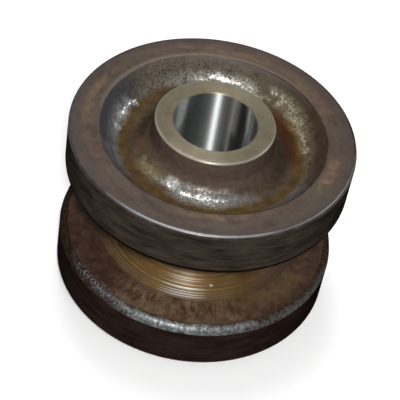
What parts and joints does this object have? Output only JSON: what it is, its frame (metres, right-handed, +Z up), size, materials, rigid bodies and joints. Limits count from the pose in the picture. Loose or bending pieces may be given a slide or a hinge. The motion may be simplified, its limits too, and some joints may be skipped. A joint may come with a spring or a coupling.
{
  "type": "grooved steel roller",
  "caption": "Solid cast steel roller with a tread on either side of a deep groove, dished ends, and a proud hub with a finished bore that turns on an axle.",
  "frame": {"origin": "centre of the lower hub face, on which the roller stands", "axes": "+Z up along the bore's axis; the section is the same all round it"},
  "size_m": [0.172, 0.172, 0.128],
  "materials": {
    "cast_steel": "dark oiled casting with light rust, turned rim and hub faces and a honed bore"
  },
  "bodies": {
    "root": {"roller": "cast_steel"}
  },
  "joints": []
}
